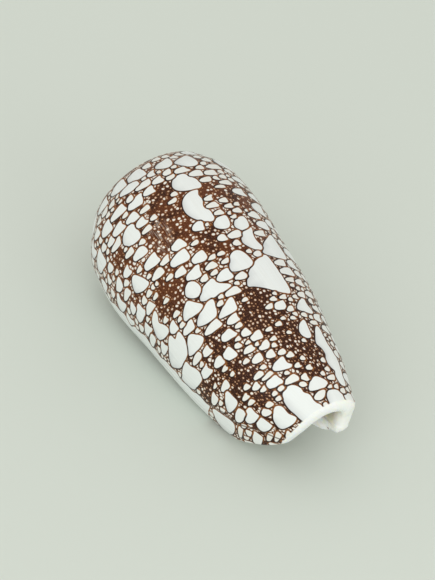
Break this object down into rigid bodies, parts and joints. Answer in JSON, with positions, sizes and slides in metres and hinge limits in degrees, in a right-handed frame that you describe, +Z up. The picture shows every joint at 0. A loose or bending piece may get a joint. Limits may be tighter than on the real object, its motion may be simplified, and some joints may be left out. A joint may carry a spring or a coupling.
{
  "type": "cone shell",
  "caption": "Whole sea shell of the tented cone kind, coiled to the right, lying on its aperture with a hollow under the lip.",
  "frame": {"origin": "centre of the footprint, on the surface that the shell lies on", "axes": "+Y towards the spire along the shell, +Z up through its back"},
  "size_m": [0.0278, 0.0586, 0.0261],
  "materials": {
    "shell": "glossy, white tents on a brown net"
  },
  "bodies": {
    "root": {"shell": "shell"}
  },
  "joints": []
}
